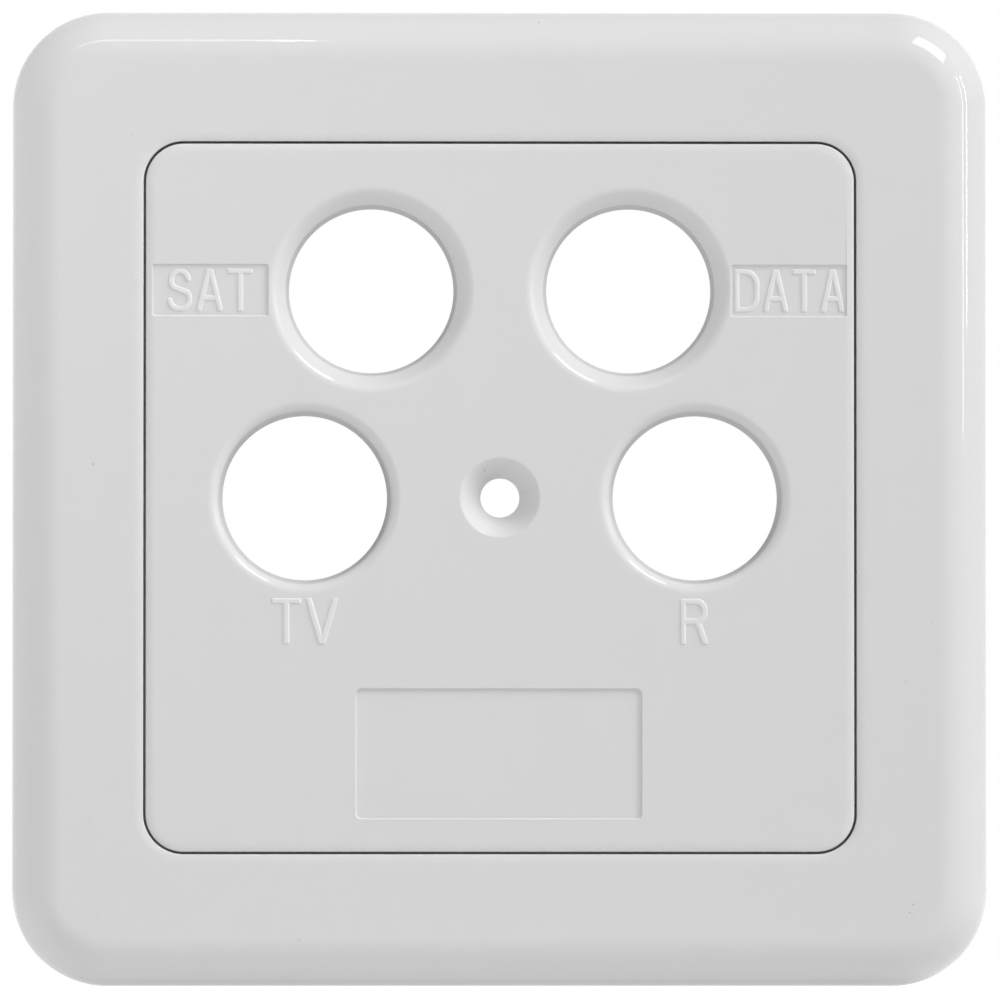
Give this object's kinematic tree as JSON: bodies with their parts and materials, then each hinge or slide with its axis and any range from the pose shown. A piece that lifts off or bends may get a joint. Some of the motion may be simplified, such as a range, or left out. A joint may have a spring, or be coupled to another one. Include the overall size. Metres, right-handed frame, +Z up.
{
  "type": "satellite outlet cover plate",
  "caption": "Square wall cover for a satellite outlet: a soft-edged frame round a flush centre plate with port holes, a countersunk screw hole and a label field.",
  "frame": {"origin": "on the screw hole's axis, in the wall plane, at the back end of the screw boss", "axes": "+X to the right as seen from the room, +Y into the wall, +Z up the wall"},
  "size_m": [0.08, 0.009, 0.08],
  "materials": {
    "frame_white": "polished white moulding",
    "plate_white": "satin white moulding"
  },
  "bodies": {
    "root": {"cover_frame": "frame_white", "centre_plate": "plate_white"}
  },
  "joints": []
}
